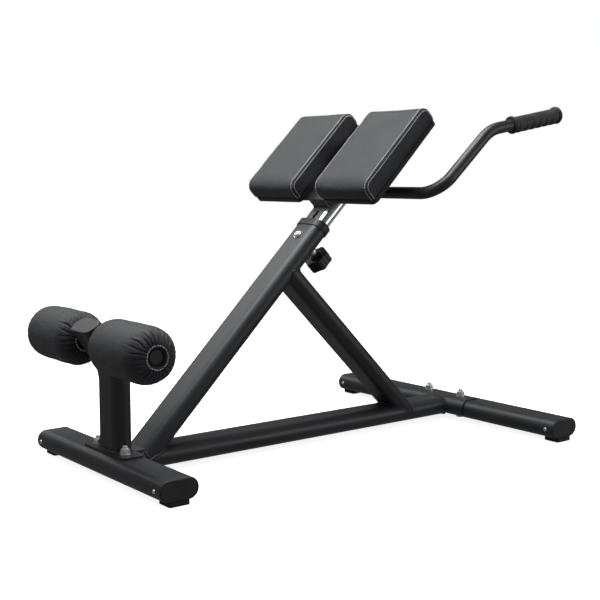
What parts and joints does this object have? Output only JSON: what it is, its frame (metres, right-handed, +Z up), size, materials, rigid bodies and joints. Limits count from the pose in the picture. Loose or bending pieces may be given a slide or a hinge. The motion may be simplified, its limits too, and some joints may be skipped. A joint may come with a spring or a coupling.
{
  "type": "roman chair",
  "caption": "Angled hyperextension bench with a split padded support on a telescoping carriage, swept hand grips, and foam ankle rollers on a leaning post.",
  "frame": {"origin": "middle of the bench's outline in plan, on the floor", "axes": "+X from the ankle rollers towards the hand grips, +Y to the user's left when facing +X, +Z up"},
  "size_m": [1.0458, 0.71, 0.7192],
  "materials": {
    "frame_paint": "satin graphite-black powder coat",
    "axle_paint": "plain steel tube",
    "zinc": "bright zinc plate",
    "chrome": "polished chrome plate",
    "cap_plastic": "fine-grained black moulding",
    "foot_rubber": "matte black rubber",
    "grip_rubber": "matte dark grey soft vinyl",
    "board_paint": "board with a black backing",
    "upholstery": "grained charcoal leatherette with white stitching"
  },
  "bodies": {
    "frame": {"front_foot_tube": "frame_paint", "rear_foot_tube": "frame_paint", "front_end_caps": "cap_plastic", "rear_end_caps": "cap_plastic", "rubber_feet": "foot_rubber", "cap_screws": "zinc", "base_plate": "frame_paint", "front_bolts": "zinc", "front_washers": "zinc", "front_nuts": "zinc", "bottom_rail": "frame_paint", "rear_saddle": "frame_paint", "rear_bolts": "zinc", "rear_washers": "zinc", "rear_nuts": "zinc", "main_beam": "frame_paint", "rear_strut": "frame_paint", "foot_post": "frame_paint", "post_end_cap": "cap_plastic", "roller_axle": "axle_paint", "axle_plugs": "cap_plastic", "beam_collar": "cap_plastic", "stop_bolt": "zinc", "stop_washer": "zinc", "pin_nut": "zinc"},
    "pad_carriage": {"slider_tube": "chrome", "slider_glide": "cap_plastic", "slider_end_cap": "cap_plastic", "lower_pad_bracket": "frame_paint", "upper_pad_bracket": "frame_paint", "pad_screws": "zinc", "left_pad_board": "board_paint", "right_pad_board": "board_paint", "left_pad_cushion": "upholstery", "right_pad_cushion": "upholstery", "handlebar": "frame_paint", "bar_cradle": "frame_paint", "left_hand_grip": "grip_rubber", "right_hand_grip": "grip_rubber"},
    "left_roller": {"left_roller_liner": "cap_plastic", "left_roller_foam": "upholstery"},
    "right_roller": {"right_roller_liner": "cap_plastic", "right_roller_foam": "upholstery"},
    "locking_pin": {"locking_pin": "zinc"},
    "pin_knob": {"pin_knob": "cap_plastic"}
  },
  "joints": [
    {"name": "pad_slide", "type": "slide", "parent": "frame", "child": "pad_carriage", "axis": [0.7071, 0, 0.7071], "range_m": [-0.03, 0.09]},
    {"name": "left_roller_spin", "type": "hinge", "parent": "frame", "child": "left_roller", "pos_m": [-0.4704, 0, 0.25971], "axis": [0, 1, 0], "continuous": true},
    {"name": "right_roller_spin", "type": "hinge", "parent": "frame", "child": "right_roller", "pos_m": [-0.4704, 0, 0.25971], "axis": [0, 1, 0], "continuous": true},
    {"name": "pin_advance", "type": "slide", "parent": "frame", "child": "locking_pin", "axis": [-0.7071, 0, 0.7071], "range_m": [0, 0.008]},
    {"name": "knob_turn", "type": "hinge", "parent": "locking_pin", "child": "pin_knob", "pos_m": [0.04749, 0, 0.40143], "axis": [-0.7071, 0, 0.7071], "range_deg": [0, 1440]}
  ],
  "couplings": [
    {"joint": "pin_advance", "follows": "knob_turn", "m_per_rad": 0.000318}
  ]
}
